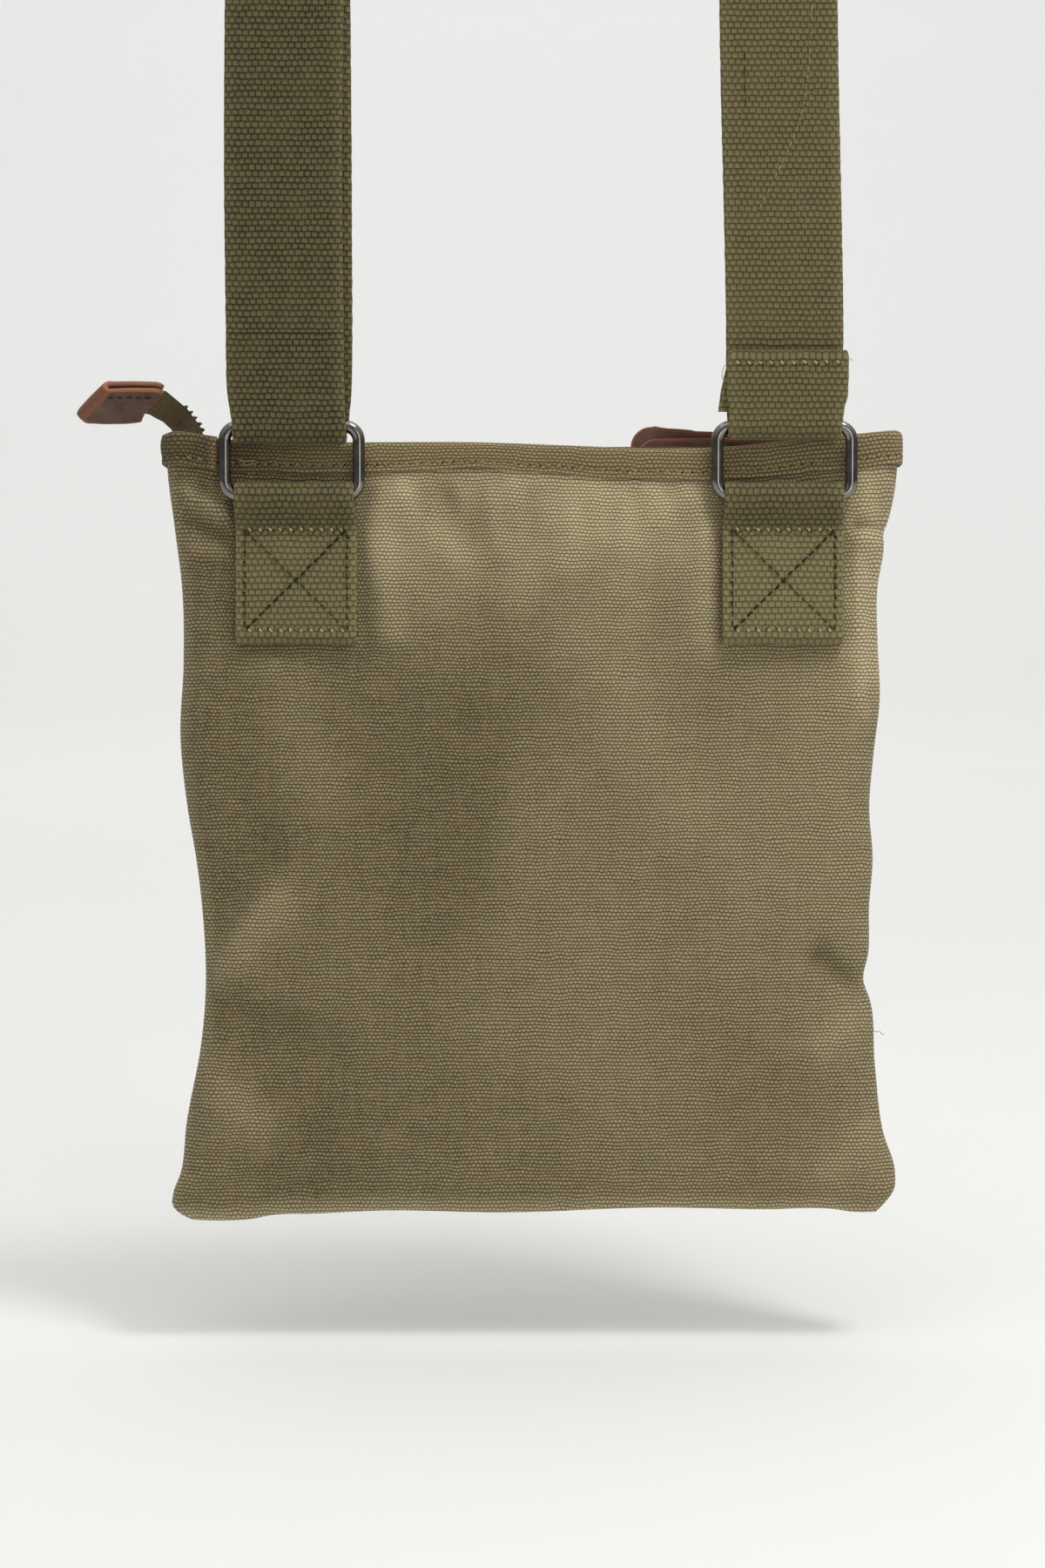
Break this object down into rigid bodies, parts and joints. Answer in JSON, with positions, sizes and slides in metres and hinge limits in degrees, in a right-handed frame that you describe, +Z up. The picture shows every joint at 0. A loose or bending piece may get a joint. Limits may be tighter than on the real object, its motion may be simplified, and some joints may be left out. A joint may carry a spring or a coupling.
{
  "type": "messenger bag",
  "caption": "Small flat canvas messenger bag with bound zip mouth, leather zip tail and slip pocket, hung from wire rings by an adjustable webbing shoulder strap.",
  "frame": {"origin": "underside of the strap's crown, where a peg or a shoulder holds the bag", "axes": "+Z up along the hanging strap and bag, +X across the bag to the right seen from its wearer side, +Y out of its front"},
  "size_m": [0.2668, 0.0529, 0.7716],
  "materials": {
    "canvas": "washed plain-weave cotton canvas, faded khaki-brown",
    "webbing": "coarse cotton webbing, dark olive-brown",
    "binding": "folded canvas binding tape, faded",
    "lining": "thin plain cotton",
    "zip_tape": "woven herringbone tape",
    "leather": "smooth dark brown leather with raw edges",
    "ring_metal": "dark nickel, worn",
    "zip_metal": "dark antique brass"
  },
  "bodies": {
    "strap": {"shoulder_strap": "webbing", "strap_return_run": "webbing"},
    "adjuster": {"adjuster_slide": "ring_metal", "strap_sewn_end": "webbing"},
    "ring_l": {"ring_left": "ring_metal"},
    "ring_r": {"ring_right": "ring_metal"},
    "bag": {"back_panel": "canvas", "front_panel": "canvas", "lining_back": "lining", "lining_front": "lining", "mouth_binding": "binding", "anchor_tab_left": "webbing", "anchor_tab_right": "webbing", "zip_tape_back": "zip_tape", "zip_tape_front": "zip_tape", "zip_teeth_back": "zip_metal", "zip_teeth_front": "zip_metal", "zip_stop": "zip_metal", "pocket_back_ply": "leather", "pocket_front_ply": "leather"},
    "slider": {"zip_slider": "zip_metal"},
    "pull": {"zip_pull": "zip_metal"},
    "tail": {"zip_tail_tape": "zip_tape", "zip_tail_teeth": "zip_metal", "zip_end_cap": "leather"}
  },
  "joints": [
    {"name": "adjuster_move", "type": "slide", "parent": "strap", "child": "adjuster", "axis": [0, 0, 1], "range_m": [-0.1, 0], "deforming": ["strap_return_run"]},
    {"name": "ring_left_swing", "type": "hinge", "parent": "strap", "child": "ring_l", "pos_m": [-0.0775, 0, -0.515], "axis": [1, 0, 0], "range_deg": [-60, 40]},
    {"name": "ring_right_swing", "type": "hinge", "parent": "strap", "child": "ring_r", "pos_m": [0.0805, 0, -0.515], "axis": [1, 0, 0], "range_deg": [-60, 40]},
    {"name": "bag_swing", "type": "hinge", "parent": "ring_l", "child": "bag", "pos_m": [-0.0775, 0, -0.537], "axis": [1, 0, 0], "range_deg": [-60, 7]},
    {"name": "zip_slide", "type": "slide", "parent": "bag", "child": "slider", "axis": [1, 0, 0], "range_m": [-0.182, 0]},
    {"name": "zip_pull_swing", "type": "hinge", "parent": "slider", "child": "pull", "pos_m": [0.103, 0.01388, -0.52403], "axis": [0, 0.9945, -0.1045], "range_deg": [0, 135]},
    {"name": "zip_tail_bend", "type": "hinge", "parent": "bag", "child": "tail", "pos_m": [-0.1166, 0.01432, -0.5199], "axis": [0, 0.9945, -0.1045], "range_deg": [-70, 15], "stiffness_Nm_per_rad": 0.02, "springref_deg": 1.72}
  ],
  "couplings": [
    {"joint": "ring_right_swing", "follows": "ring_left_swing", "ratio": 1}
  ]
}
